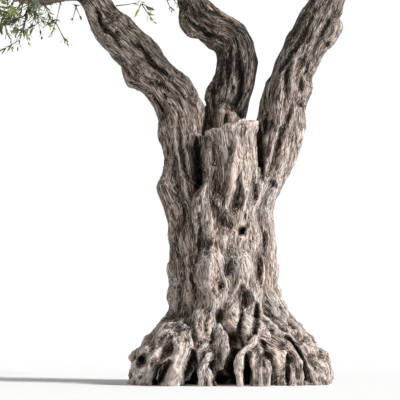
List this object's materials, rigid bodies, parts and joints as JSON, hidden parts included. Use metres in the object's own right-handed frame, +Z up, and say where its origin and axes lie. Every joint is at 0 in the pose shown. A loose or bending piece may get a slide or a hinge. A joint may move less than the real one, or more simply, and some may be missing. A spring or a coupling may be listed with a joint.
{
  "type": "olive tree",
  "caption": "Old gnarled olive tree: a fluted trunk with a wide root flare and a sawn stump in front, winding boughs, lighter limbs and an open evergreen crown",
  "frame": {"origin": "on the flat cut at ground level, under the middle of the trunk", "axes": "+Z up, -Y toward the viewer of the picture, +X to the viewer's right"},
  "size_m": [5.0662, 4.7125, 5.0183],
  "materials": {
    "bark": "rough, furrowed",
    "limb_bark": "rough",
    "leaves": "matt, leathery"
  },
  "bodies": {
    "root": {"trunk": "bark", "bough_left": "bark", "bough_middle": "bark", "bough_right": "bark", "limb_left": "limb_bark", "limb_left_front": "limb_bark", "limb_left_back": "limb_bark", "limb_upper_left": "limb_bark", "limb_front": "limb_bark", "limb_back": "limb_bark", "limb_upper_back": "limb_bark", "limb_top": "limb_bark", "limb_right_front": "limb_bark", "limb_right": "limb_bark", "limb_right_back": "limb_bark", "limb_upper_right": "limb_bark", "foliage_left": "leaves", "foliage_left_front": "leaves", "foliage_left_back": "leaves", "foliage_upper_left": "leaves", "foliage_front": "leaves", "foliage_back": "leaves", "foliage_upper_back": "leaves", "foliage_top": "leaves", "foliage_right_front": "leaves", "foliage_right": "leaves", "foliage_right_back": "leaves", "foliage_upper_right": "leaves"}
  },
  "joints": []
}
